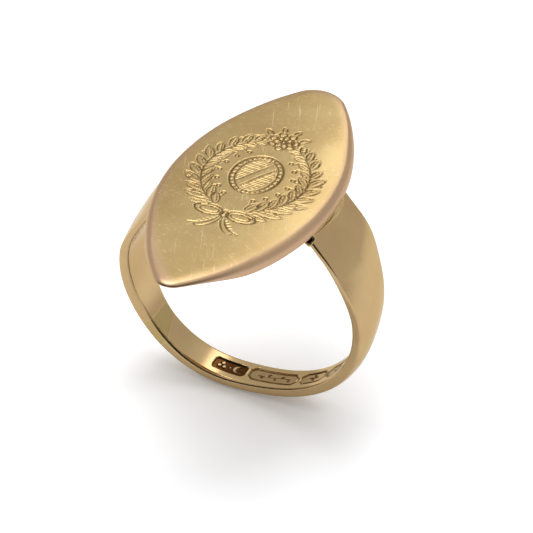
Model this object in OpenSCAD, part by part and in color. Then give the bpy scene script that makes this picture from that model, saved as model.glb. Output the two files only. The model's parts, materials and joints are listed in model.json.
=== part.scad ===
// Signet ring: a navette table soldered across the open top of a bent strip shank.
// Millimetres. The origin is the middle of the finger bore, +Y runs along the bore
// and the table's length, +X runs across the shoulders and +Z points up at the table.

/* [Finger bore] */
// Inside diameter of the hoop
bore_d = 17; // [14:0.25:22]

/* [Shank] */
// Thickness of the strip along its edges
edge_t = 0.6; // [0.4:0.05:1.2]
// Extra thickness of the strip's crowned middle
crown = 0.4; // [0.2:0.05:0.8]
// Width of the strip under the finger
base_w = 2.6; // [2:0.1:5]
// Width of the strip at the shoulders
shoulder_w = 5.9; // [5.2:0.1:8]
// Height below the bore's centre where the strip starts to widen
flare_low = 6.5; // [4:0.25:6.75]
// Height above the bore's centre where it is fully wide
flare_high = 6.5; // [4:0.25:6.75]

/* [Table] */
// Length of the table, tip to tip
table_l = 25.5; // [20:0.5:32]
// Width of the table at its middle
table_w = 12; // [10:0.25:15]
// Thickness of the table's rim at mid-length, where the finger bore misses it
table_t = 1.3; // [0.9:0.05:2]
// Radius of the rounded tips, seen from above
tip_r = 2.35; // [1.5:0.05:3]
// Metal left between the finger bore and the table's top
table_over_bore = 0.4; // [0.3:0.05:0.7]
// How far the table sits forward of the shank's middle
table_forward = 0.6; // [0:0.1:1]

/* [Solder] */
// How far the strip's crown stands inside the table's edge
seat_inset = 0.1; // [0:0.05:0.25]
// Radius of the solder fillet inside each shoulder
fillet_r = 0.9; // [0.5:0.1:1.2]
// Radius of the bead of solder along the outside of each shoulder
bead_r = 0.2; // [0.1:0.05:0.3]
// Thickness of the solder in a sizing seam
seam_t = 0.12; // [0.08:0.01:0.2]

/* [Sizing piece] */
// Angle of the sizing piece's middle, from the foot of the hoop
sizing_angle = 50; // [35:1:70]
// Length of the sizing piece, around the bore
sizing_l = 1.5; // [1:0.1:3]
// Slant of its lower seam
lower_slant = 20; // [0:1:25]

/* [Hidden] */
$fn = 96;

bore_r = bore_d / 2;
strip_t = edge_t + crown;
table_top = bore_r + table_over_bore;
table_under = table_top - table_t;
reach = 3 * (table_l + bore_d);          // longer than anything that it cuts

// The long sides of the table are arcs of side_r, whose centres stand side_x off
// the middle. Each runs into the tip circles touch_angle from its own middle.
half_l = table_l / 2;
half_w = table_w / 2;
tip_y = half_l - tip_r;
side_r = (tip_y * tip_y + half_w * half_w - tip_r * tip_r) / (2 * (half_w - tip_r));
side_x = side_r - half_w;
touch_angle = asin(tip_y / (side_r - tip_r));
side_steps = 48;
tip_steps = 24;

// The crowned outside of the strip is an arc across its full width.
half_shoulder = shoulder_w / 2;
crown_r = (half_shoulder * half_shoulder + crown * crown) / (2 * crown);

// Each leg leaves the round of the hoop on a straight tangent, leg_angle from the +X
// side, and its outside meets the table seat_inset inside the table's edge. On a hoop
// so large that its round passes further out than that, the round itself meets the
// table and no straight part is left.
strip_r = bore_r + strip_t;
seat_x = max(half_w - seat_inset, sqrt(strip_r * strip_r - table_under * table_under));
seat_reach = sqrt(seat_x * seat_x + table_under * table_under);
leg_angle = atan2(table_under, seat_x) - acos(min(1, strip_r / seat_reach));
leg_l = sqrt(max(0, seat_reach * seat_reach - strip_r * strip_r));
has_legs = leg_l > 0.01;
hoop_sweep = 180 + 2 * (has_legs ? leg_angle : asin(table_under / bore_r));

// Where the strip's inside face meets the underside of the table, and how far the
// fillet there runs along each of the two faces
inner_x = (bore_r - table_under * sin(leg_angle)) / cos(leg_angle);
fillet_leg = fillet_r / tan((90 + leg_angle) / 2);

// The bead follows the strip's crown, as the table's underside cuts it
bead_path_r = crown_r * cos(leg_angle);
bead_sweep = 2 * asin((half_shoulder - bead_r) / bead_path_r);

// Lays a shape drawn in the hoop's plane upright, with its Z along the bore
module upright() { rotate([90, 0, 0]) children(); }

// The strip's section: flat against the finger and crowned outside
module strip_section() {
    intersection() {
        translate([bore_r, -half_shoulder]) square([strip_t, shoulder_w]);
        translate([bore_r + strip_t - crown_r, 0]) circle(r = crown_r, $fn = 180);
    }
}

// One straight leg, from the round of the hoop up through the table
module leg() {
    rotate([0, 0, leg_angle]) rotate([-90, 0, 0]) linear_extrude(height = 2 * leg_l)
        strip_section();
}

// Half of the strip's width at a height z: narrow at the foot, wide at the shoulders
function half_width(z) =
    let (t = max(0, min(1, (z + flare_low) / (flare_low + flare_high))))
    (base_w + (shoulder_w - base_w) * t * t * (3 - 2 * t)) / 2;

// A solid as wide as the strip is at each height
module width_envelope() {
    steps = 24;
    heights = [for (i = [0:steps]) -flare_low + (flare_low + flare_high) * i / steps];
    profile = concat(
        [[half_width(-flare_low), -reach / 2]],
        [for (z = heights) [half_width(z), z]],
        [[half_width(flare_high), reach / 2]]);
    rotate([90, 0, 90]) linear_extrude(height = reach, center = true)
        polygon(concat(profile, [for (i = [len(profile) - 1:-1:0]) [-profile[i][0], profile[i][1]]]));
}

// The whole bent strip, open under the table
module bent_strip() {
    intersection() {
        upright() {
            rotate([0, 0, -90 - hoop_sweep / 2]) rotate_extrude(angle = hoop_sweep, $fn = 180)
                strip_section();
            if (has_legs) for (side = [0, 1]) mirror([side, 0, 0]) leg();
        }
        width_envelope();
        translate([-reach / 2, -reach / 2, -reach]) cube([reach, reach, reach + table_under]);
    }
}

// A frame on the left of the hoop: X outwards, Y up around the hoop, Z along the bore
module left_frame(angle, slant) {
    upright() rotate([0, 0, 270 - angle]) mirror([0, 1, 0]) rotate([slant, 0, 0]) children();
}

// All of the left half that lies further up the hoop than a seam's middle plus start
module above_seam(angle, slant, start) {
    intersection() {
        left_frame(angle, slant) translate([-reach / 2, start, -reach / 2]) cube(reach);
        translate([-reach, -reach / 2, -reach / 2]) cube(reach);
    }
}

half_sizing_angle = (sizing_l / 2) * 180 / (PI * bore_r);
upper_angle = sizing_angle + half_sizing_angle;
lower_angle = sizing_angle - half_sizing_angle;

// Points along an arc about [x, y], from one angle to another
function arc(x, y, r, from, to, steps) =
    [for (i = [0:steps]) let (a = from + (to - from) * i / steps) [x + r * cos(a), y + r * sin(a)]];

// The table's outline: two long arcs that run smoothly into two round tips
module navette() {
    polygon(concat(
        arc(-side_x, 0, side_r, -touch_angle, touch_angle, side_steps),
        arc(0, tip_y, tip_r, touch_angle, 180 - touch_angle, tip_steps),
        arc(side_x, 0, side_r, 180 - touch_angle, 180 + touch_angle, side_steps),
        arc(0, -tip_y, tip_r, 180 + touch_angle, 360 - touch_angle, tip_steps)));
}

module finger() { rotate([90, 0, 0]) cylinder(r = bore_r, h = reach, center = true, $fn = 180); }

// The flat plate that carries the crest, hollowed underneath to clear the finger
module table() {
    color("goldenrod") difference() {
        translate([0, -table_forward, table_under]) linear_extrude(height = table_t) navette();
        finger();
    }
}

// The foot and the right shoulder, one strip up to the lower sizing seam
module shank() {
    color("gold") difference() {
        bent_strip();
        above_seam(lower_angle, lower_slant, -seam_t / 2);
    }
}

// The strip from the upper sizing seam to the table
module left_shoulder() {
    color("gold") intersection() {
        bent_strip();
        above_seam(upper_angle, 0, seam_t / 2);
    }
}

// The short length let in when the ring was made larger
module sizing_piece() {
    color("khaki") difference() {
        intersection() {
            bent_strip();
            above_seam(lower_angle, lower_slant, seam_t / 2);
        }
        above_seam(upper_angle, 0, -seam_t / 2);
    }
}

// The layer of solder that fills one sizing seam
module sizing_seam(angle, slant) {
    color("palegoldenrod") difference() {
        intersection() {
            bent_strip();
            above_seam(angle, slant, -seam_t / 2);
        }
        above_seam(angle, slant, seam_t / 2);
    }
}
module upper_sizing_seam() { sizing_seam(upper_angle, 0); }
module lower_sizing_seam() { sizing_seam(lower_angle, lower_slant); }

// The hollow fillet of solder in the right shoulder's inside corner
module inside_fillet() {
    translate([0, half_shoulder, 0]) upright() linear_extrude(height = shoulder_w)
        difference() {
            polygon([[inner_x, table_under],
                     [inner_x - fillet_leg, table_under],
                     [inner_x + fillet_leg * sin(leg_angle), table_under - fillet_leg * cos(leg_angle)]]);
            translate([inner_x - fillet_leg, table_under - fillet_r]) circle(r = fillet_r, $fn = 48);
        }
}

// The bead of solder under the table's edge, along the outside of the right shoulder
module outside_bead() {
    translate([seat_x - bead_path_r, 0, table_under]) rotate([0, 0, -bead_sweep / 2])
        rotate_extrude(angle = bead_sweep, $fn = 180)
            translate([bead_path_r, 0]) intersection() {
                circle(r = bead_r, $fn = 32);
                translate([-bead_r, -bead_r]) square([2 * bead_r, bead_r]);
            }
}

module table_solder() {
    color("palegoldenrod") difference() {
        union() {
            inside_fillet();
            outside_bead();
        }
        bent_strip();
    }
}
module right_table_solder() { table_solder(); }
module left_table_solder() { mirror([1, 0, 0]) table_solder(); }

table();
shank();
left_shoulder();
sizing_piece();
upper_sizing_seam();
lower_sizing_seam();
left_table_solder();
right_table_solder();
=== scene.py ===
"""The looks of a gold signet ring, built around its CAD frame.

Lengths are worked out in millimetres and turned to metres once, where a mesh is made.
+Y runs along the finger and the table's length, +X across the shoulders, +Z up.
"""
import json
import math

import bpy
import numpy as np
from mathutils import Matrix, Vector


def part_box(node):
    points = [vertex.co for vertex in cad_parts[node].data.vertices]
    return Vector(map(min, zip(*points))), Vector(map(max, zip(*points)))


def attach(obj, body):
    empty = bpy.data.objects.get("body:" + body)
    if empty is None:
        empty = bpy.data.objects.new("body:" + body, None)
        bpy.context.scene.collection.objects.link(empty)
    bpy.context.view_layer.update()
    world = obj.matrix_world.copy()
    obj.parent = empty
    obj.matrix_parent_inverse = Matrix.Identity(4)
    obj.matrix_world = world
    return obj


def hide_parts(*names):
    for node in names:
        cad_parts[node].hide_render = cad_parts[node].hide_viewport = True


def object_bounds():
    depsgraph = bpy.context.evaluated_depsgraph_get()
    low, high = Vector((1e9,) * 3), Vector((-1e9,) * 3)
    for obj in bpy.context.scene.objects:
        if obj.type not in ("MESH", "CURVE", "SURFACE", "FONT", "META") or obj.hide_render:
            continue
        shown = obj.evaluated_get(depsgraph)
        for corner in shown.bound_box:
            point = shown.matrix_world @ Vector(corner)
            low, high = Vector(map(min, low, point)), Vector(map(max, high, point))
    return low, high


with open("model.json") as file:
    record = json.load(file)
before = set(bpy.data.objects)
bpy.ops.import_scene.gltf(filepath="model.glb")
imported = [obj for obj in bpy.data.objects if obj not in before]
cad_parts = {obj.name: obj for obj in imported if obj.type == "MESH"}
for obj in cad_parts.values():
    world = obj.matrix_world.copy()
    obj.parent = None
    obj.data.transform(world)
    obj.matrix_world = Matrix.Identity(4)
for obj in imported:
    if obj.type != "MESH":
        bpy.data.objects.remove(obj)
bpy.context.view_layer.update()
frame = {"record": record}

MM = 0.001                       # one millimetre in metres


# ---------------------------------------------------------------- sizes from the frame

def box_mm(node):
    """A node's lowest and highest corners in millimetres."""
    low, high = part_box(node)
    return np.array(low) / MM, np.array(high) / MM


def mount(name):
    """The record's entry for one mount."""
    return next(m for m in frame["record"]["mounts"] if m["name"] == name)


table_low, table_high = box_mm("table")
shank_low, shank_high = box_mm("shank")
bore_r = mount("finger_bore")["dims"]["r_mm"]
half_l = (table_high[1] - table_low[1]) / 2
half_w = (table_high[0] - table_low[0]) / 2
table_y = (table_high[1] + table_low[1]) / 2          # the table sits a little forward
table_top = table_high[2]
table_under = shank_high[2]                           # where the shoulders meet the table
half_shoulder = shank_high[1]
strip_t = -shank_low[2] - bore_r                      # with the crown, at the foot

# Driving sizes that the frame can't tell, as in the part's own source
EDGE_T = 0.6                     # strip's thickness along its edges
BASE_W = 2.6                     # strip's width under the finger
FLARE = 6.5                      # the strip widens between this far below and above the middle
TIP_R = 2.35                     # radius of the table's tips
SEAT_INSET = 0.1                 # strip's crown inside the table's edge
SIZING_ANGLE = 50                # middle of the sizing piece, from the foot, in degrees
SIZING_L = 1.5                   # its length around the bore
SEAM_T = 0.12                    # solder in each of its seams
LOWER_SLANT = 20                 # slant of the lower seam, in degrees
CLEAR = 0.01                     # kept inside the CAD's own box

strip_r = bore_r + strip_t
seat_x = half_w - SEAT_INSET
seat_reach = math.hypot(seat_x, table_under)
leg_angle = math.atan2(table_under, seat_x) - math.acos(strip_r / seat_reach)
round_angle = math.pi / 2 + leg_angle                 # where the hoop's round ends, from the foot
round_s = bore_r * round_angle                        # the same along the strip


# ---------------------------------------------------------------- colours and materials

def srgb(hex_colour):
    """A linear colour from an sRGB hex string."""
    parts = [int(hex_colour[i:i + 2], 16) / 255 for i in (1, 3, 5)]
    linear = [c / 12.92 if c <= 0.04045 else ((c + 0.055) / 1.055) ** 2.4 for c in parts]
    return (*linear, 1.0)


def add(tree, kind, settings=None, **links):
    """Adds a node, sets its properties and sockets, and links sockets to outputs."""
    node = tree.nodes.new(kind)
    for key, value in (settings or {}).items():
        if isinstance(key, str) and hasattr(node, key):
            setattr(node, key, value)
        else:
            node.inputs[key].default_value = value
    for key, output in links.items():
        socket = int(key[1:]) if key[0] == "i" and key[1:].isdigit() else key.replace("_", " ")
        tree.links.new(output, node.inputs[socket])
    return node


def ramp(tree, factor, stops):
    """A colour ramp through (position, colour) stops."""
    node = add(tree, "ShaderNodeValToRGB", Fac=factor)
    elements = node.color_ramp.elements
    while len(elements) < len(stops):
        elements.new(0.5)
    for element, (place, colour) in zip(elements, stops):
        element.position = place
        element.color = colour if len(colour) == 4 else (*colour, 1.0)
    return node.outputs["Color"]


def grey(level):
    """A linear grey."""
    return (level, level, level, 1.0)


def in_mm(tree, turn=(0, 0, 0), stretch=(1, 1, 1)):
    """Object coordinates in millimetres, turned and then stretched."""
    where = add(tree, "ShaderNodeTexCoord")
    return add(tree, "ShaderNodeMapping",
               {"vector_type": "TEXTURE", "Rotation": turn,
                "Scale": tuple(MM / s for s in stretch)},
               Vector=where.outputs["Object"]).outputs["Vector"]


def noise(tree, vector, per_mm, detail=3.0, roughness=0.55):
    """Cloudy noise with a number of features to the millimetre."""
    return add(tree, "ShaderNodeTexNoise",
               {"Scale": per_mm, "Detail": detail, "Roughness": roughness},
               Vector=vector).outputs["Fac"]


def maths(tree, operation, a, b):
    """One maths node on two values or outputs."""
    node = add(tree, "ShaderNodeMath", {"operation": operation})
    for socket, value in zip(node.inputs, (a, b)):
        if isinstance(value, (int, float)):
            socket.default_value = value
        else:
            tree.links.new(value, socket)
    return node.outputs["Value"]


def mix(tree, factor, a, b):
    """Mixes two colours by a factor."""
    node = add(tree, "ShaderNodeMix", {"data_type": "RGBA"})
    for name, value in (("Factor", factor), ("A", a), ("B", b)):
        socket = [s for s in node.inputs if s.name == name and s.enabled][0]
        if isinstance(value, (tuple, float, int)):
            socket.default_value = value
        else:
            tree.links.new(value, socket)
    return [s for s in node.outputs if s.enabled][0]


def scratches(tree, turns, per_mm, length):
    """Fine lines in several directions: noise drawn out along each, only its peaks kept."""
    total = None
    for turn in turns:
        lines = noise(tree, in_mm(tree, (0.13 * turn, 0.1, turn), (per_mm, 1 / length, per_mm)),
                      1.0, 1.0, 0.4)
        peaks = ramp(tree, lines, [(0.69, grey(0)), (0.76, grey(1))])
        total = peaks if total is None else maths(tree, "MAXIMUM", total, peaks)
    return total


SCRATCH_COLOUR = "#F3E6C4"
# Painted reflection: the rosy tone of the table's rolled rim
PAINTED_RIM_REFLECTION = "#BC9A80"
GRAZING_TINT = "#E8DECB"         # the metal's colour where it is seen edge on


def gold(name, colour, toned, cut, roughness, grain, lines_share):
    """Yellow gold of high carat: soft, so it is rubbed to a satin with fine scratches.

    colour is the metal, toned its duller patches and cut the dark colour that marked points
    take: dirt in engraving and stamps, painted shade in the solder's collar and in its drop's
    hollow. grain is how strongly the surface is pitted, lines_share how much its scratches
    show. Points near the table's rolled rim take a painted rosy reflection.
    """
    material = bpy.data.materials.new(name)
    material.use_nodes = True
    tree = material.node_tree
    tree.nodes.clear()
    plain = in_mm(tree)
    clouds = noise(tree, plain, 0.3, 4.0)
    fine = noise(tree, plain, 6.0, 5.0, 0.7)
    lines = scratches(tree, (0.35, 1.1, 1.9, 2.6), 11.0, 6.0)
    # Marked points darken towards cut: dirt in engraving and stamps, painted shade in the solder's
    # collar and drop
    depth = add(tree, "ShaderNodeAttribute", {"attribute_name": "grime"}).outputs["Fac"]

    base = mix(tree, ramp(tree, clouds, [(0.35, grey(0)), (0.7, grey(1))]),
               srgb(colour), srgb(toned))
    base = mix(tree, maths(tree, "MULTIPLY", lines, 0.35 * lines_share), base, srgb(SCRATCH_COLOUR))
    # Painted reflection: a rosy tint mixed in along the table's rolled rim
    rosy = add(tree, "ShaderNodeAttribute", {"attribute_name": "rosy"}).outputs["Fac"]
    base = mix(tree, maths(tree, "MULTIPLY", rosy, 0.75), base, srgb(PAINTED_RIM_REFLECTION))
    base = mix(tree, depth, base, srgb(cut))

    rough = add(tree, "ShaderNodeMath", {"operation": "MULTIPLY_ADD", 1: 0.14,
                                         2: roughness - 0.07}, i0=fine).outputs["Value"]
    rough = maths(tree, "ADD", rough, maths(tree, "MULTIPLY", lines, 0.1 * lines_share))

    height = maths(tree, "MULTIPLY", fine, grain)
    height = maths(tree, "SUBTRACT", height, maths(tree, "MULTIPLY", lines, 0.5 * lines_share))
    height = maths(tree, "ADD", height, maths(tree, "MULTIPLY", clouds, 2.0 * grain))
    bump = add(tree, "ShaderNodeBump", {"Strength": 0.6, "Distance": 0.01 * MM}, Height=height)

    shader = add(tree, "ShaderNodeBsdfPrincipled",
                 {"Metallic": 1.0, "Specular Tint": srgb(GRAZING_TINT)},
                 Base_Color=base, Roughness=rough, Normal=bump.outputs["Normal"])
    add(tree, "ShaderNodeOutputMaterial", Surface=shader.outputs["BSDF"])
    return material


# Gold that has been rubbed by wear for a century: warm, satin and finely scratched
TABLE_GOLD = gold("rubbed_yellow_gold", "#B19A6C", "#A88E60", "#452810", 0.32, 1.0, 0.6)
# The shank, softer in polish because fingers keep it smooth
SHANK_GOLD = gold("worn_yellow_gold", "#B99F73", "#B3966D", "#4A2C12", 0.19, 0.12, 0.1)
# The let-in length, from a greener alloy
SIZING_GOLD = gold("greenish_yellow_gold", "#B29C6A", "#A99161", "#4A2C12", 0.20, 0.15, 0.3)
# Solder, paler than the gold that it joins and slightly grainy; its dark colour is painted shade,
# used in the collar's fillet and the drop's hollow
SOLDER = gold("pale_gold_solder", "#C2A97D", "#B39867", "#2C180A", 0.24, 0.4, 0.2)


# ---------------------------------------------------------------- meshes

def wobble(x, y, z, size):
    """Slight handmade unevenness: slow waves of a few millimetres, of a given size."""
    return size * (np.sin(0.9 * x + 1.7 * y + 0.4) * np.cos(1.1 * z - 0.6 * y + 1.0)
                   + 0.6 * np.sin(1.9 * z + 1.3 * x - 0.8 * y + 2.1)) / 1.6


def mesh_object(name, points, faces, material, **shades):
    """A smooth-shaded object from points in millimetres, with values kept at each point."""
    mesh = bpy.data.meshes.new(name)
    mesh.from_pydata((np.asarray(points) * MM).tolist(), [], faces)
    for shade, values in shades.items():
        layer = mesh.attributes.new(shade, "FLOAT", "POINT")
        layer.data.foreach_set("value", np.asarray(values, np.float32).ravel())
    mesh.materials.append(material)
    mesh.validate()
    mesh.shade_smooth()
    obj = bpy.data.objects.new(name, mesh)
    bpy.context.scene.collection.objects.link(obj)
    return obj


def loop_faces(rows, columns, closed_rows=False, ends=True):
    """Quads between closed loops of points, with a face on each end unless rows close too."""
    row = np.arange(rows if closed_rows else rows - 1)[:, None]
    col = np.arange(columns)[None, :]
    a = row * columns + col
    b = row * columns + (col + 1) % columns
    c = ((row + 1) % rows) * columns + (col + 1) % columns
    d = ((row + 1) % rows) * columns + col
    faces = np.stack([a, b, c, d], -1).reshape(-1, 4).tolist()
    if ends and not closed_rows:
        faces.append(list(range(columns - 1, -1, -1)))
        faces.append([(rows - 1) * columns + i for i in range(columns)])
    return faces


def sharpen(obj, degrees):
    """Keeps edges sharper than an angle crisp."""
    obj.data.set_sharp_from_angle(angle=math.radians(degrees))


def finish_piece(obj, node):
    """Ties a finished piece to the CAD node it stands for."""
    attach(obj, "root")
    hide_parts(node)


# ---------------------------------------------------------------- stamps inside the foot

def box_distance(s, y, length, width):
    """Signed distance to a rectangle about the origin, negative inside."""
    dx = np.abs(s) - length / 2
    dy = np.abs(y) - width / 2
    return np.hypot(np.maximum(dx, 0), np.maximum(dy, 0)) + np.minimum(np.maximum(dx, dy), 0)


def octagon_distance(s, y, length, width, corner):
    """Signed distance to a rectangle with its corners cut off."""
    cut = (np.abs(s) + np.abs(y) - (length + width) / 2 + corner) / math.sqrt(2)
    return np.maximum(box_distance(s, y, length, width), cut)


def inside(distance, soft=0.05):
    """1 inside an outline and 0 outside, over a soft edge."""
    return np.clip(0.5 - distance / soft, 0, 1)


def outline(distance, width):
    """1 on a line along an outline."""
    return np.clip(1 - np.abs(distance) / width, 0, 1)


STAMP_DEPTH = 0.13               # how deep the deepest punch went


def punched_bar(s, y):
    """A deep punch with round ends, that leaves a raised trefoil and a raised crescent."""
    ground = inside(box_distance(s, y, 2.6 - 0.6, 1.24 - 0.6) - 0.3)
    lobes = [np.hypot(s + 0.62 - 0.22 * math.cos(a), y - 0.22 * math.sin(a)) - 0.16
             for a in (math.pi / 2, math.pi * 7 / 6, math.pi * 11 / 6)]
    trefoil = inside(np.minimum(np.minimum(lobes[0], lobes[1]), lobes[2]))
    crescent = inside(np.maximum(np.hypot(s - 0.6, y) - 0.37, 0.28 - np.hypot(s - 0.76, y)))
    dot = inside(np.hypot(s - 0.02, y) - 0.09)
    raised = np.maximum(np.maximum(trefoil, crescent), dot)
    return np.clip(ground - 0.85 * raised, 0, 1)


def punched_octagon(s, y, length, width):
    """A shallow sunk octagon with a deeper line round it."""
    away = octagon_distance(s, y, length, width, 0.36)
    return np.maximum(outline(away, 0.17) * 0.9, inside(away) * 0.3)


def punched_wide(s, y):
    """A wide octagon round a small leafy twig."""
    total = punched_octagon(s, y, 3.95, 1.2)
    twig = outline(y - 0.07 * np.sin(2.2 * s), 0.09) * inside(np.abs(s) - 1.4)
    total = np.maximum(total, twig * 0.8)
    for i, place in enumerate((-1.15, -0.6, -0.05, 0.5, 1.05)):
        turn = 0.8 if i % 2 else -0.8
        along = (s - place) * math.cos(turn) + y * math.sin(turn)
        over = -(s - place) * math.sin(turn) + y * math.cos(turn)
        blade = inside(np.hypot((along - 0.22) * 0.45, over) - 0.1)
        total = np.maximum(total, blade * 0.85)
    return total


def punched_small(s, y):
    """A small octagon round a four-petalled flower."""
    petals = inside(np.hypot(s, y) - 0.36 * np.abs(np.cos(2 * np.arctan2(y, s))) - 0.04)
    return np.maximum(punched_octagon(s, y, 2.2, 1.15), petals * 0.9)


def punched_last(s, y):
    """A small octagon round a plain diamond."""
    diamond = outline(np.abs(s) + np.abs(y) - 0.34, 0.13)
    return np.maximum(punched_octagon(s, y, 2.0, 1.1), diamond * 0.9)


# Each stamp's pattern, its middle around the foot in degrees and its lean
STAMPS = ((punched_bar, -9.2, 0.0), (punched_wide, 15.0, -0.04),
          (punched_small, 37.6, 0.03), (punched_last, 53.5, 0.05))


def stamp_depth(s, y):
    """How deep the stamps go at a place on the strip's inside."""
    total = np.zeros_like(s)
    for pattern, angle, lean in STAMPS:
        along = s - bore_r * math.radians(angle)
        total = np.maximum(total, pattern(along, y - lean * along))
    return total


# ---------------------------------------------------------------- the strip

OUTER_R = 0.16                   # radius of the strip's outside corners
CORNER_STEPS = 7                 # points round each corner's quarter circle
EDGE_EXTRA = 0.08                # the worn hoop's edges are this much thicker than new ones
FRONT_FILED = 0.26               # the shoulders' front edges are filed back by this much
BACK_RAISED = 0.16               # and their back edges stand up by this much
FILED_FROM = 98                  # where the filing starts, from the foot, in degrees
FILED_OVER = 22                  # and over how many degrees it comes in
RAISED_FROM = 112                # where the back edges start to rise
CREASE = 50                      # edges sharper than this stay crisp, in degrees

def half_width(s):
    """Half of the strip's width at a distance s around from the foot."""
    angle = np.clip(s / bore_r, -round_angle, round_angle)
    over = np.abs(s - angle * bore_r)
    height = (-np.cos(angle) * (bore_r + EDGE_T / 2) + over * math.sin(round_angle))
    t = np.clip((height + FLARE) / (2 * FLARE), 0, 1)
    return (BASE_W + (2 * half_shoulder - BASE_W) * t * t * (3 - 2 * t)) / 2 - CLEAR


def bump_at(degrees, middle, width):
    """A smooth hump of height 1 around an angle."""
    return math.exp(-((degrees - middle) / width) ** 2)


def ease(share):
    """Goes smoothly from 0 to 1 with its share."""
    share = min(1.0, max(0.0, share))
    return share * share * (3 - 2 * share)


def out_of_round(degrees):
    """How far the hoop is bent out, at an angle from the foot.

    The foot is pressed a little flat, the hoop swells on the right of it, and both
    shoulders lean in below the table.
    """
    return (-0.47 * bump_at(degrees, 6, 26) - 0.03 * bump_at(degrees, -62, 20)
            + 0.16 * bump_at(degrees, 58, 18) + 0.07 * bump_at(degrees, 74, 12)
            - 0.11 * bump_at(degrees, 112, 16) - 0.26 * bump_at(degrees, -120, 16)
            + 0.03 * bump_at(degrees, 92, 8) - 0.05 * bump_at(degrees, -90, 15))


def sideways(degrees):
    """How far the strip stands out of line along the finger, at an angle from the foot."""
    return -0.16 * bump_at(degrees, 54, 22)


def strip_section(s, inner_steps, outer_steps):
    """One closed loop round the strip at a place s, (out, across).

    It is flat inside and crowned outside, the inside corners rounded by wear and the
    outside ones by the file. Near the table the crown is filed back at the front and
    stands up a little at the back.
    """
    half = float(half_width(s))
    degrees = math.degrees(s / bore_r)
    filed = ease((abs(degrees) - FILED_FROM) / FILED_OVER)
    front_filed = FRONT_FILED * filed
    back_raised = BACK_RAISED * ease((abs(degrees) - RAISED_FROM) / FILED_OVER)
    inner_r = 0.14 + 0.13 * bump_at(degrees, -35, 45)
    edge_t = EDGE_T + EDGE_EXTRA + 0.2 * bump_at(degrees, -62, 26) - EDGE_EXTRA * filed
    dome_h = strip_t - 0.03 - edge_t
    arc = np.linspace(0, np.pi / 2, CORNER_STEPS)
    flat = np.linspace(-1, 1, inner_steps) * (half - inner_r)
    out = [np.zeros(inner_steps)]
    across = [flat]
    out.append(inner_r * (1 - np.cos(arc))[1:])
    across.append(half - inner_r + inner_r * np.sin(arc)[1:])
    dome = lambda y: (edge_t + dome_h * (1 - (y / half) ** 2)
                      + np.where(y < 0, front_filed, back_raised) * y / half)
    side = half - OUTER_R + OUTER_R * np.cos(arc)
    for sign in (1, -1):
        top = edge_t + (back_raised if sign == 1 else -front_filed)
        wall = np.linspace(inner_r, top - OUTER_R, 4)[1:-1]
        corner = dome(sign * side) - OUTER_R * (1 - np.sin(arc))
        if sign == 1:
            out += [wall, corner]
            across += [np.full(len(wall), half), side]
            crest = np.linspace(1, -1, outer_steps)[1:-1] * (half - OUTER_R)
            out.append(dome(crest))
            across.append(crest)
        else:
            out += [corner[::-1], wall[::-1]]
            across += [-side[::-1], np.full(len(wall), -half)]
    out.append((inner_r * (1 - np.cos(arc))[1:])[::-1])
    across.append((-(half - inner_r + inner_r * np.sin(arc)[1:]))[::-1])
    return np.concatenate(out), np.concatenate(across)


def table_cut(out):
    """How far along the strip the table's underside lies, for a point this far out."""
    reach = table_under + 0.02 + (bore_r + out) * math.cos(round_angle)
    return round_s + reach / math.sin(round_angle)


def seam_cut(angle, slant, shift):
    """How far along the left side a seam lies, for a point this far across."""
    tilt = math.tan(math.radians(slant))
    start = -bore_r * math.radians(angle)
    return lambda out, across: start - (across * tilt + shift)


def flat_strip(name, stations, start, end, inner_steps, outer_steps, material, stamped=False):
    """A straight strip along X with Z out from the finger, between two end cuts.

    stations are places along the strip; start and end give the exact cut of each
    point of the section, and the strip between them is stretched to fit.
    """
    stations = np.asarray(stations, float)
    share = (stations - stations[0]) / (stations[-1] - stations[0])
    points, grime = [], []
    for place, u in zip(stations, share):
        out, across = strip_section(place, inner_steps, outer_steps)
        along = start(out, across) * (1 - u) + end(out, across) * u
        dirt = np.zeros_like(out)
        if stamped:
            flat = out < 0.001
            dirt[flat] = stamp_depth(along[flat], across[flat])
            out = out + STAMP_DEPTH * dirt
        out = out + out_of_round(math.degrees(place / bore_r))
        out = out + wobble(along, across, out, 0.012) * (out > 0.3)
        across = across + sideways(math.degrees(place / bore_r))
        points.append(np.stack([along, across, out], -1))
        grime.append(dirt)
    points = np.concatenate(points)
    return mesh_object(name, points, loop_faces(len(stations), len(out)), material,
                       grime=np.concatenate(grime))


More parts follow.
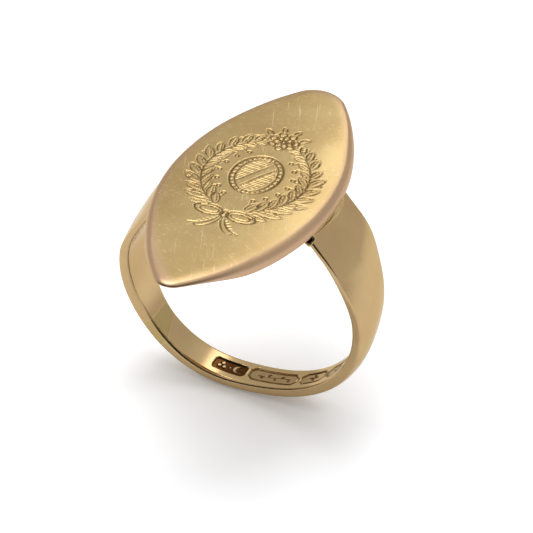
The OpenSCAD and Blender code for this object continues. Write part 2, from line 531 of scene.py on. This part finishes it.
def bend_tree():
    """Geometry nodes that bend a flat strip round the finger and up to the table.

    Up to the end of the round, a place along the strip turns into an angle; past it,
    the strip runs on straight. Z of the flat strip becomes distance from the finger.
    """
    tree = bpy.data.node_groups.new("bend_round_finger", "GeometryNodeTree")
    face = tree.interface
    face.new_socket("Geometry", in_out="INPUT", socket_type="NodeSocketGeometry")
    for socket in ("Bore radius", "Round angle"):
        face.new_socket(socket, in_out="INPUT", socket_type="NodeSocketFloat")
    face.new_socket("Material", in_out="INPUT", socket_type="NodeSocketMaterial")
    face.new_socket("Geometry", in_out="OUTPUT", socket_type="NodeSocketGeometry")
    given = tree.nodes.new("NodeGroupInput").outputs
    place = add(tree, "ShaderNodeSeparateXYZ",
                Vector=tree.nodes.new("GeometryNodeInputPosition").outputs["Position"]).outputs

    turned = maths(tree, "DIVIDE", place["X"], given["Bore radius"])
    turned = maths(tree, "MINIMUM", turned, given["Round angle"])
    angle = maths(tree, "MAXIMUM", turned, maths(tree, "MULTIPLY", given["Round angle"], -1.0))
    over = maths(tree, "SUBTRACT", place["X"], maths(tree, "MULTIPLY", angle, given["Bore radius"]))
    radius = maths(tree, "ADD", given["Bore radius"], place["Z"])
    sine = maths(tree, "SINE", angle, 0.0)
    cosine = maths(tree, "COSINE", angle, 0.0)
    side = maths(tree, "ADD", maths(tree, "MULTIPLY", radius, sine),
                 maths(tree, "MULTIPLY", over, cosine))
    height = maths(tree, "SUBTRACT", maths(tree, "MULTIPLY", over, sine),
                   maths(tree, "MULTIPLY", radius, cosine))
    bent = add(tree, "ShaderNodeCombineXYZ", X=side, Y=place["Y"], Z=height)
    moved = add(tree, "GeometryNodeSetPosition", Geometry=given["Geometry"],
                Position=bent.outputs["Vector"])
    real = add(tree, "GeometryNodeRealizeInstances", Geometry=moved.outputs["Geometry"])
    done = add(tree, "GeometryNodeSetMaterial", Geometry=real.outputs["Geometry"],
               Material=given["Material"])
    result = tree.nodes.new("NodeGroupOutput")
    tree.links.new(done.outputs["Geometry"], result.inputs["Geometry"])
    return tree


def made_plain(obj):
    """Turns an object's modifiers into plain mesh."""
    depsgraph = bpy.context.evaluated_depsgraph_get()
    mesh = bpy.data.meshes.new_from_object(obj.evaluated_get(depsgraph), depsgraph=depsgraph)
    obj.modifiers.clear()
    obj.data = mesh
    return obj


def bend(obj, tree):
    """Bends one flat strip and leaves it a plain mesh."""
    modifier = obj.modifiers.new("bend", "NODES")
    modifier.node_group = tree
    values = {"Bore radius": bore_r * MM, "Round angle": round_angle,
              "Material": obj.data.materials[0]}
    for socket in tree.interface.items_tree:
        if socket.in_out == "INPUT" and socket.name in values:
            modifier[socket.identifier] = values[socket.name]
    return made_plain(obj)


def graded(*spans):
    """Places along a piece, from (start, end, spacing) spans laid end to end."""
    places = [spans[0][0]]
    for start, end, spacing in spans:
        steps = max(1, round(abs(end - start) / spacing))
        places.extend(np.linspace(start, end, steps + 1)[1:])
    return places


half_sizing = math.degrees(SIZING_L / 2 / bore_r)
upper_angle = SIZING_ANGLE + half_sizing
lower_angle = SIZING_ANGLE - half_sizing


def make_shank_pieces():
    """The strip's three lengths of gold and the two seams of solder between them."""
    tree = bend_tree()
    half_seam = SEAM_T / 2
    lower_s = -bore_r * math.radians(lower_angle)
    upper_s = -bore_r * math.radians(upper_angle)
    top_s = float(table_cut(0.0))
    right_top = lambda out, across: table_cut(out)
    left_top = lambda out, across: -table_cut(out)
    fine = 0.045
    coarse = 0.14
    stamps_end = bore_r * math.radians(62)
    pieces = (
        ("shank", graded((lower_s + half_seam, -3.3, coarse), (-3.3, stamps_end, fine),
                         (stamps_end, top_s, coarse)),
         seam_cut(lower_angle, LOWER_SLANT, -half_seam), right_top, 54, 30, SHANK_GOLD,
         "worn_gold", True),
        ("left_shoulder", graded((-top_s, upper_s - half_seam, 0.1)),
         left_top, seam_cut(upper_angle, 0, half_seam), 30, 30, SHANK_GOLD, "worn_gold", False),
        ("sizing_piece", graded((upper_s + half_seam, lower_s - half_seam, 0.08)),
         seam_cut(upper_angle, 0, -half_seam), seam_cut(lower_angle, LOWER_SLANT, half_seam),
         30, 30, SIZING_GOLD, "pale_gold", False),
        ("upper_sizing_seam", graded((upper_s - half_seam, upper_s + half_seam, 0.03)),
         seam_cut(upper_angle, 0, half_seam), seam_cut(upper_angle, 0, -half_seam),
         30, 30, SOLDER, "gold_solder", False),
        ("lower_sizing_seam", graded((lower_s - half_seam, lower_s + half_seam, 0.03)),
         seam_cut(lower_angle, LOWER_SLANT, half_seam),
         seam_cut(lower_angle, LOWER_SLANT, -half_seam), 30, 30, SOLDER, "gold_solder", False),
    )
    for node, stations, start, end, inner, outer, material, slot_name, stamped in pieces:
        strip = flat_strip("looks_" + node, stations, start, end, inner, outer, material, stamped)
        bend(strip, tree)
        sharpen(strip, CREASE)
        finish_piece(strip, node)


# ---------------------------------------------------------------- the table's crest

def curve_points(ends, bow, steps=14):
    """A stroke from one end to the other that bows sideways by a share of its length."""
    (x0, y0), (x1, y1) = ends
    t = np.linspace(0, 1, steps)
    hump = 4 * t * (1 - t) * bow
    return np.stack([x0 + (x1 - x0) * t - (y1 - y0) * hump,
                     y0 + (y1 - y0) * t + (x1 - x0) * hump], -1)


def leaf(base, angle, length, fat):
    """An engraved leaf: two bowed edges, a midrib and short hatching on one half."""
    tip = (base[0] + length * math.cos(angle), base[1] + length * math.sin(angle))
    ends = (base, tip)
    strokes = [(curve_points(ends, fat), 0.065, 1.0), (curve_points(ends, -fat), 0.06, 0.9),
               (curve_points(ends, 0.04), 0.05, 0.7)]
    across = angle + math.pi / 2
    for share in (0.3, 0.55):
        rib = (base[0] + length * share * math.cos(angle), base[1] + length * share * math.sin(angle))
        reach = length * fat * 4 * share * (1 - share) * 0.85
        out = (rib[0] + reach * math.cos(across - 0.5), rib[1] + reach * math.sin(across - 0.5))
        strokes.append((curve_points((rib, out), 0.05, 5), 0.045, 0.6))
    return strokes


def stem_point(t):
    """A place on the right spray's stem, from the knot (0) round to the top (1)."""
    sweep = math.radians(-80 + 152 * t)
    return (3.7 * math.cos(sweep) * (0.84 + 0.16 * math.sin(math.pi * t)),
            0.7 + 4.5 * math.sin(sweep))


def spray():
    """The right spray: a stem with pairs of leaves that shorten towards the top."""
    stem = np.array([stem_point(t) for t in np.linspace(0, 1, 40)])
    strokes = [(stem, 0.07, 1.0)]
    leaves = 12
    for i in range(leaves):
        t = 0.06 + 0.92 * i / (leaves - 1)
        x, y = stem_point(t)
        x2, y2 = stem_point(t + 0.01)
        along = math.atan2(y2 - y, x2 - x)
        length = 1.95 - 0.7 * t + 0.14 * math.sin(2.4 * i)
        strokes += leaf((x, y), along - 0.6, length, 0.18)
        strokes += leaf((x, y), along + 0.7, length * 0.82, 0.19)
    x, y = stem_point(1.0)
    strokes += leaf((x, y), math.radians(150), 1.15, 0.18)
    return strokes


def ring_points(x, y, rx, ry, steps=40, start=0.0, sweep=2 * math.pi):
    """Points along an ellipse or a part of one."""
    a = start + np.linspace(0, sweep, steps)
    return np.stack([x + rx * np.cos(a), y + ry * np.sin(a)], -1)


def mirrored(strokes):
    """The same strokes on the left side."""
    return [(points * np.array([-1, 1]), width, depth) for points, width, depth in strokes]


OVAL_Y = 0.8                     # the oval's centre along the table
ROSE_Y = 5.35                    # the rosette's
BAND_SLOPE = 0.55                # slant of the oval's band
BAND_HALF = 0.34                 # half of its width


def centre_oval():
    """An oval shield with a beaded border, lined across, with a plain slanting band."""
    strokes = [(ring_points(0, OVAL_Y, 1.75, 2.35), 0.09, 1.0),
               (ring_points(0, OVAL_Y, 1.4, 2.0), 0.07, 0.9)]
    for k in range(30):
        a = 2 * math.pi * k / 30
        strokes.append((ring_points(1.575 * math.cos(a), OVAL_Y + 2.175 * math.sin(a), 0.07, 0.07, 8),
                        0.05, 0.8))
    for y in np.arange(-1.0, 2.65, 0.19):
        reach = 1.33 * math.sqrt(max(0.0, 1 - ((y - OVAL_Y) / 1.93) ** 2))
        low = (y - OVAL_Y) * BAND_SLOPE - BAND_HALF
        high = (y - OVAL_Y) * BAND_SLOPE + BAND_HALF
        for start, end in ((-reach, min(low, reach)), (max(high, -reach), reach)):
            if end - start > 0.12:
                strokes.append((curve_points(((start, y), (end, y)), 0.012, 6), 0.05, 0.65))
    for shift in (-BAND_HALF, BAND_HALF):
        ends = [((y - OVAL_Y) * BAND_SLOPE + shift, y) for y in (-0.95, 2.55)]
        strokes.append((curve_points(ends, 0.0, 12), 0.07, 0.9))
    return strokes


def bow():
    """The ribbon bow that ties the sprays: two loops, a knot and two tails."""
    half = [(ring_points(1.2, -4.25, 1.05, 0.55), 0.09, 1.0),
            (ring_points(1.15, -4.25, 0.7, 0.3), 0.07, 0.85),
            (curve_points(((0.15, -4.45), (1.95, -6.1)), -0.18), 0.09, 1.0),
            (curve_points(((0.05, -4.6), (1.2, -6.35)), -0.16), 0.08, 0.9),
            (curve_points(((1.95, -6.1), (1.5, -5.95)), 0.1, 6), 0.07, 0.8),
            (curve_points(((1.5, -5.95), (1.2, -6.35)), 0.1, 6), 0.07, 0.8)]
    for share in (0.15, 0.3, 0.45, 0.6, 0.75):
        half.append((curve_points(((0.15 + 1.6 * share, -4.55 - 1.4 * share),
                                   (0.1 + 0.95 * share, -4.65 - 1.5 * share)), 0.1, 6), 0.05, 0.7))
    return half + mirrored(half) + [(ring_points(0, -4.3, 0.27, 0.34), 0.09, 1.0)]


def rosette():
    """A small rose above the oval: petals in two rings round a dot, with side leaves."""
    strokes = [(ring_points(0, ROSE_Y, 0.16, 0.16, 16), 0.09, 1.0)]
    for k in range(7):
        a = 2 * math.pi * k / 7 + math.pi / 2
        strokes.append((ring_points(0.5 * math.cos(a), ROSE_Y + 0.5 * math.sin(a), 0.25, 0.25, 16),
                        0.07, 0.9))
        a += math.pi / 7
        strokes.append((ring_points(0.85 * math.cos(a), ROSE_Y + 0.85 * math.sin(a), 0.27, 0.27, 16),
                        0.07, 0.9))
    side = (leaf((1.0, 5.0), 0.1, 1.2, 0.18) + leaf((0.95, 5.7), 0.7, 1.0, 0.18)
            + leaf((0.35, 6.3), 1.2, 0.8, 0.2))
    return strokes + side + mirrored(side)


def filling():
    """Small berries and curled tendrils between the sprays and the oval."""
    strokes = []
    for i, t in enumerate((0.12, 0.24, 0.36, 0.48, 0.6, 0.72, 0.84)):
        x, y = stem_point(t)
        near = (x * 0.7, OVAL_Y + (y - OVAL_Y) * 0.72)
        strokes.append((ring_points(*near, 0.13, 0.13, 12), 0.07, 0.9))
        far = (x * 0.86, OVAL_Y + (y - OVAL_Y) * 0.86)
        strokes.append((curve_points((near, far), 0.3 if i % 2 else -0.3, 8), 0.055, 0.8))
        strokes.append((ring_points(x * 1.02 * 1.2, OVAL_Y + (y - OVAL_Y) * 1.12, 0.09, 0.09, 10),
                        0.06, 0.7))
    return strokes


def crest_strokes():
    """Every stroke of the crest as (points, half width, depth share)."""
    right = spray() + filling()
    return right + mirrored(right) + centre_oval() + bow() + rosette()


CREST_DEPTH = 0.085              # depth of the deepest strokes


def cut_crest(x, y):
    """Share of the full depth cut at each place on the table's top, 0 where untouched."""
    cut = np.zeros_like(x)
    for points, width, depth in crest_strokes():
        low = points.min(0) - width
        high = points.max(0) + width
        near = np.nonzero((x > low[0]) & (x < high[0]) & (y > low[1]) & (y < high[1]))
        if not len(near[0]):
            continue
        px, py = x[near], y[near]
        best = np.zeros_like(px)
        count = len(points) - 1
        closed = np.allclose(points[0], points[-1])
        for i in range(count):
            (ax, ay), (bx, by) = points[i], points[i + 1]
            dx, dy = bx - ax, by - ay
            t = np.clip(((px - ax) * dx + (py - ay) * dy) / (dx * dx + dy * dy + 1e-9), 0, 1)
            share = (i + t) / count
            swell = 1.0 if closed else np.sin(np.pi * np.clip(share, 0.04, 0.96)) ** 0.5
            wide = width * swell
            away = np.hypot(px - ax - t * dx, py - ay - t * dy)
            best = np.maximum(best, depth * swell * np.clip(1 - away / wide, 0, 1))
        cut[near] = np.maximum(cut[near], best)
    return cut


# ---------------------------------------------------------------- the table

NEAR_TIP_R = 1.15                # the near tip was filed sharper than the far one
NEAR_DROOP = 0.52                # the near tip is bent down by this much
NEAR_SKEW = 0.4                  # and leans to the left by this much
TABLE_TURN = -0.7                # the table stands slightly askew, in degrees
ROLL_W = 0.5                     # width of the roll along the top's edge, at the thickest
ROLL_H = 0.42                    # its height, as a share of the thickness
RUB_W = 0.9                      # width of the softer slope inside it
BEVEL_W = 0.35                   # width of the slope under the table's edge
BEVEL_H = 0.15                   # its height
SIDE_CLEAR = 0.04                # the table is narrower than the CAD's by this each side
TIP_CLEAR = 0.02                 # and shorter by this at each end
DROOP_FROM = 3                   # the near tip bends from this far in front of the middle


def outline_of(tip_r):
    """The side arc's radius and centre, and where the tip's arc begins."""
    end = half_l - tip_r
    radius = (end ** 2 + half_w ** 2 - tip_r ** 2) / (2 * (half_w - tip_r))
    return end, radius, radius - half_w, end * radius / (radius - tip_r)


def table_half_width(y):
    """Half of the table's width at a place along it."""
    width = np.zeros_like(y)
    for tip_r, part in ((NEAR_TIP_R, y < 0), (TIP_R, y >= 0)):
        end, radius, centre, touch = outline_of(tip_r)
        along = np.abs(y)
        side = np.sqrt(np.maximum(radius ** 2 - along ** 2, 0)) - centre
        tip = np.sqrt(np.maximum(tip_r ** 2 - (along - end) ** 2, 0))
        width = np.where(part, np.where(along < touch, side, tip), width)
    return width


def inset(x, y):
    """How far a place is inside the table's outline."""
    inside_by = np.zeros_like(x)
    for tip_r, part in ((NEAR_TIP_R, y < 0), (TIP_R, y >= 0)):
        end, radius, centre, _ = outline_of(tip_r)
        across, along = np.abs(x), np.abs(y)
        side = radius - np.hypot(across + centre, along)
        tip = tip_r - np.hypot(across, along - end)
        at_tip = along * centre > end * (across + centre)
        inside_by = np.where(part, np.where(at_tip, tip, side), inside_by)
    return inside_by


def underside(x, y):
    """Height of the table's underside: hollowed to the finger and eased at its edge."""
    hollow = np.sqrt(np.maximum(bore_r ** 2 - x ** 2, 0.01))
    soft = 0.12
    low = table_under + soft * np.logaddexp(0, (hollow - table_under) / soft)
    room = table_top - low
    bevel = np.minimum(BEVEL_H, 0.32 * room) * np.clip(1 - inset(x, y) / BEVEL_W, 0, 1) ** 1.6
    return np.minimum(low + bevel, table_top - 0.2)


def top_height(x, y):
    """Height of the table's top: flat, rubbed lower near the rim, rolled over at it.

    The roll is broader where the table is thicker, and the side that the hand rubs,
    to the right and in front, slopes down further.
    """
    room = table_top - np.maximum(table_under, np.sqrt(np.maximum(bore_r ** 2 - x ** 2, 0)))
    edge = inset(x, y)
    near = np.clip(1 - edge / (ROLL_W * (0.4 + 0.6 * room / room.max())), 0, 1)
    rolled = ROLL_H * room * (1 - np.sqrt(1 - near ** 2))
    rubbed = np.minimum(0.09, 0.2 * room) * np.clip(1 - edge / RUB_W, 0, 1) ** 2
    side = np.clip((x - 0.35 * y + 1) / 4, 0, 1)
    side = side * side * (3 - 2 * side)
    width = table_half_width(y)
    worn = (0.03 + 0.27 * side) * (width / half_w) * (np.abs(x) / np.maximum(width, 0.1)) ** 3
    return table_top - CLEAR - rolled - rubbed - worn


def table_rows():
    """Places along the table: fine over the crest and at the round tips."""
    tip = np.sin(np.linspace(0, np.pi / 2, 26))[1:]
    near, far = half_l - NEAR_TIP_R, half_l - TIP_R
    start = [-(near + NEAR_TIP_R * 0.9999 * t) for t in tip[::-1]]
    middle = graded((-near, -6.9, 0.14), (-6.9, 7.3, 0.052), (7.3, far, 0.14))
    return np.array(start + middle + [far + TIP_R * 0.9999 * t for t in tip])


def table_columns():
    """Shares of the half width across the table: fine over the crest, closer at the rim."""
    inner = np.linspace(0, 0.9, 88)
    rim = 0.9 + 0.1 * np.sin(np.linspace(0, np.pi / 2, 15))[1:]
    half = np.concatenate([inner, rim])
    return np.concatenate([-half[:0:-1], half])


def make_table():
    """The navette table: engraved top, rolled edge, side and hollow underside."""
    rows, columns = table_rows(), table_columns()
    shrink = 1 - SIDE_CLEAR / half_w
    y = rows[:, None] + 0 * columns[None, :]
    x = table_half_width(rows)[:, None] * columns[None, :]
    cut = cut_crest(x, y)
    z = top_height(x, y) - CREST_DEPTH * cut + wobble(x, y, 0 * x, 0.008) - 0.008

    under_columns = np.linspace(1, -1, 33)
    under_columns = np.sign(under_columns) * np.abs(under_columns) ** 0.7
    under_x = table_half_width(rows)[:, None] * under_columns[None, :]
    under_y = rows[:, None] + 0 * under_columns[None, :]
    under_z = underside(under_x, under_y)

    walls = []
    for side, low_side in ((-1, 0), (0, -1)):
        top_z, low_z = z[:, side], under_z[:, low_side]
        wall = [(x[:, side], rows, top_z + (low_z - top_z) * share) for share in (0.25, 0.5, 0.75)]
        walls.append(wall if side == -1 else wall[::-1])
    stack = lambda top, right, low, left: np.concatenate(
        [top, np.stack(right, -1), low, np.stack(left, -1)], 1)
    xs = stack(x, [w[0] for w in walls[0]], under_x, [w[0] for w in walls[1]]) * shrink
    ys = stack(y, [w[1] for w in walls[0]], under_y, [w[1] for w in walls[1]])
    ys = ys * (1 - TIP_CLEAR / half_l)
    zs = stack(z, [w[2] for w in walls[0]], under_z, [w[2] for w in walls[1]])
    grime = np.zeros_like(xs)
    grime[:, :x.shape[1]] = np.clip(cut * 1.1, 0, 0.85)
    to_tip = np.clip((-ys - DROOP_FROM) / (half_l - DROOP_FROM), 0, 1)
    zs = zs - NEAR_DROOP * to_tip ** 1.4
    xs = xs - NEAR_SKEW * to_tip ** 2
    turn = math.radians(TABLE_TURN)
    points = np.stack([xs * math.cos(turn) - ys * math.sin(turn),
                       xs * math.sin(turn) + ys * math.cos(turn) + table_y, zs], -1)
    # Painted reflection: a rosy tint at the table's outline, fading out about 0.9 mm inside it
    rosy = np.clip(1.25 - inset(xs / shrink, ys) / 0.75, 0, 1)
    obj = mesh_object("looks_table", points.reshape(-1, 3), loop_faces(*xs.shape), TABLE_GOLD,
                      grime=grime, rosy=rosy)
    sharpen(obj, CREASE)
    finish_piece(obj, "table")


# ---------------------------------------------------------------- solder at the table

LUMP = (5.52, -3.36, 7.48)       # a drop of solder in the right shoulder's front corner
LUMP_AXIS = (0.31, -0.75, 0.59)  # which way the hollow in it faces
COLLAR_ROWS = 15                 # rings of points up the collar's face
# The drop's rings from its hollow to its back: radius, height along the axis, and painted shade
LUMP_PROFILE = ((0.02, -0.12, 1.0), (0.09, -0.11, 1.0), (0.16, -0.05, 1.0), (0.21, 0.02, 1.0),
                (0.26, 0.08, 0.8), (0.31, 0.1, 0.3), (0.37, 0.08, 0.1), (0.42, 0.01, 0.0),
                (0.44, -0.1, 0.0), (0.41, -0.22, 0.0), (0.3, -0.33, 0.0), (0.1, -0.4, 0.0))


def make_lump():
    """A small drop of solder with a hollow in its face painted dark as shade, turned about its axis.
    """
    axis = np.array(LUMP_AXIS) / np.linalg.norm(LUMP_AXIS)
    right = np.cross((0, 0, 1), axis)
    right /= np.linalg.norm(right)
    up = np.cross(axis, right)
    turn = np.linspace(0, 2 * math.pi, 32, endpoint=False)
    wide = (1 + 0.16 * np.cos(turn - 0.5) + 0.1 * np.sin(3 * turn) + 0.05 * np.cos(5 * turn))[:, None]
    around = wide * (np.cos(turn)[:, None] * right + np.sin(turn)[:, None] * up)
    points = [np.array(LUMP) + radius * around + height * axis
              for radius, height, dark in LUMP_PROFILE]
    # Painted shade: the left side of the drop's front is darkened as well
    left = 0.9 * np.clip(-np.cos(turn + 0.3), 0, 1)
    grime = [np.maximum(dark, left * (height > -0.05)) for radius, height, dark in LUMP_PROFILE]
    return np.concatenate(points), np.concatenate(grime), len(turn)


def make_solder(side, node):
    """The collar of solder where a shoulder meets the table.

    It is a hollow fillet round the strip's end: wide inside, narrow up the table's edge
    outside, and uneven, as solder runs. It thins out towards the back. The right one
    also has the drop of solder in its front corner.
    """
    out, across = strip_section(table_cut(0.0), 60, 60)
    out = out + out_of_round(math.degrees(round_angle))
    count = len(out)
    along = table_cut(out) - 0.02 / math.sin(round_angle)
    x = (bore_r + out) * math.sin(round_angle) + (along - round_s) * math.cos(round_angle)
    step = np.stack([np.roll(x, -1) - np.roll(x, 1), np.roll(across, -1) - np.roll(across, 1)], -1)
    normal = np.stack([step[:, 1], -step[:, 0]], -1)
    for _ in range(6):
        normal = (np.roll(normal, 1, 0) + normal + np.roll(normal, -1, 0)) / 3
    normal /= np.linalg.norm(normal, axis=1)[:, None]
    if np.sum(normal[:, 0] * (x - x.mean())) < 0:
        normal = -normal
    outside = np.clip(normal[:, 0], 0, 1) ** 2 * np.clip((2.3 - across) / 0.9, 0, 1)
    inner = np.clip(-normal[:, 0], 0, 1) ** 2
    ends = normal[:, 1] ** 2 * np.clip((2.6 - across) / 0.9, 0.15, 1)
    uneven = 1 + 0.05 * np.sin(2.1 * across + 0.7) + 0.04 * np.sin(4.7 * across + x)
    slope = math.cos(round_angle) / math.sin(round_angle)
    front = np.clip(-normal[:, 1], 0, 1) ** 2
    ends = ends * 0.45 + front * 0.55
    rise = 0.3 * outside + 0.02 * inner + 0.1 * front
    below = (0.32 * outside + 1.1 * inner + 0.95 * ends) * uneven
    edge = table_half_width(across - table_y) + 0.03 - x
    reach = (1.1 * inner + 0.8 * ends) * uneven + (edge - slope * rise) * outside
    hollow = 1.3 * outside + 2.1 * inner + 1.9 * ends

    def ring(away, down):
        return np.stack([x + normal[:, 0] * away - slope * down, across + normal[:, 1] * away,
                         table_under - down], -1)

    rows = [ring(-0.02 + (reach + 0.02) * share ** hollow, below - (below + rise) * share)
            for share in np.linspace(0, 1, COLLAR_ROWS)]
    rows.append(ring(reach - 0.06, -rise - 0.06))
    rows.append(ring(np.full(count, -0.2), np.full(count, -0.1)))
    rows.append(ring(np.full(count, -0.2), below * 0.9))
    points = np.concatenate(rows)
    grime = np.zeros((len(rows), count))
    # Painted shade: the collar's face is darkened in its middle rows on the outside, as shade in the
    # fillet under the table's rim
    shade = np.sin(np.linspace(0, math.pi, COLLAR_ROWS))
    grime[:COLLAR_ROWS] = 0.35 * shade[:, None] * outside
    grime = grime.ravel()
    faces = loop_faces(len(rows), count, closed_rows=True)
    if side == 1:
        drop, dark, around = make_lump()
        faces += [[len(points) + corner for corner in face]
                  for face in loop_faces(len(LUMP_PROFILE), around)]
        points = np.concatenate([points, drop])
        grime = np.concatenate([grime, dark])
    points = points * np.array([side, 1, 1])
    obj = mesh_object("looks_" + node, points, faces, SOLDER, grime=grime)
    finish_piece(obj, node)


# ---------------------------------------------------------------- stage, light and camera

def make_floor():
    """A plain white opal sheet under the ring, lit a little from below."""
    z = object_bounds()[0][2]
    half = 0.4
    mesh = bpy.data.meshes.new("floor")
    mesh.from_pydata([(-half, -half, z), (half, -half, z), (half, half, z), (-half, half, z)], [],
                     [(0, 1, 2, 3)])
    opal = bpy.data.materials.new("white_opal_sheet")
    opal.use_nodes = True
    tree = opal.node_tree
    tree.nodes.clear()
    grain = noise(tree, in_mm(tree), 1.2, 3.0)
    shade = ramp(tree, grain, [(0.3, srgb("#F4F5F8")), (0.7, srgb("#F7F8FB"))])
    shader = add(tree, "ShaderNodeBsdfPrincipled",
                 {"Roughness": 0.9, "Emission Color": grey(1.0), "Emission Strength": 0.2},
                 Base_Color=shade)
    add(tree, "ShaderNodeOutputMaterial", Surface=shader.outputs["BSDF"])
    mesh.materials.append(opal)
    floor = bpy.data.objects.new("floor", mesh)
    bpy.context.scene.collection.objects.link(floor)


def make_world():
    """A light tent: brightest overhead, dim at the horizon and open in front."""
    world = bpy.data.worlds.new("light_tent")
    bpy.context.scene.world = world
    world.use_nodes = True
    tree = world.node_tree
    tree.nodes.clear()
    way = add(tree, "ShaderNodeSeparateXYZ",
              Vector=add(tree, "ShaderNodeTexCoord").outputs["Generated"]).outputs
    front = ramp(tree, maths(tree, "MULTIPLY", way["Y"], -1.0), [(0.12, grey(0)), (0.45, grey(1))])
    low = ramp(tree, way["Z"], [(0.68, grey(1)), (0.88, grey(0))])
    dark = maths(tree, "MULTIPLY", front, low)
    sky = ramp(tree, way["Z"], [(0.0, grey(0.56)), (0.3, grey(0.56)), (0.6, grey(0.52)),
                                (0.85, grey(0.9)), (1.0, grey(1.0))])
    colour = mix(tree, dark, sky, grey(0.02))
    light = add(tree, "ShaderNodeBackground", {"Strength": 1.45}, Color=colour)
    add(tree, "ShaderNodeOutputWorld", Surface=light.outputs["Background"])


def add_light(name, place, width, height, power, aim=(0, 0, 0)):
    """A soft rectangular lamp, placed in millimetres and turned to its aim."""
    lamp = bpy.data.lights.new(name, "AREA")
    lamp.shape = "RECTANGLE"
    lamp.size = width * MM
    lamp.size_y = height * MM
    lamp.energy = power
    obj = bpy.data.objects.new(name, lamp)
    bpy.context.scene.collection.objects.link(obj)
    at = Vector(place) * MM
    obj.location = at
    obj.rotation_euler = (at - Vector(aim) * MM).to_track_quat("Z", "Y").to_euler()


def make_camera():
    """A long lens on the open front of the tent, a little to the right and above."""
    azimuth, elevation, roll = (math.radians(a) for a in (22.6, 36.1, 2.5))
    back = Vector((math.sin(azimuth) * math.cos(elevation),
                   -math.cos(azimuth) * math.cos(elevation), math.sin(elevation)))
    level = Vector((math.cos(azimuth), math.sin(azimuth), 0))
    above = back.cross(level)
    right = level * math.cos(roll) + above * math.sin(roll)
    up = above * math.cos(roll) - level * math.sin(roll)
    distance = 255.0             # all three in millimetres
    aim_right = 1.1
    aim_up = 1.0
    lens = bpy.data.cameras.new("camera")
    lens.lens = 247.0
    lens.clip_start, lens.clip_end = 0.01, 10
    camera = bpy.data.objects.new("camera", lens)
    turn = Matrix((right, up, back)).transposed().to_4x4()
    place = (back * distance + right * aim_right + up * aim_up) * MM
    camera.matrix_world = Matrix.Translation(place) @ turn
    bpy.context.scene.collection.objects.link(camera)
    bpy.context.scene.camera = camera


make_shank_pieces()
make_table()
make_solder(1, "right_table_solder")
make_solder(-1, "left_table_solder")
make_floor()
make_world()
add_light("overhead", (-40, 20, 200), 120, 120, 0.16)
add_light("card", (-5, 50, 52), 16, 34, 0.004, (3, 0, 9))
make_camera()
bpy.context.scene.view_settings.view_transform = "Standard"
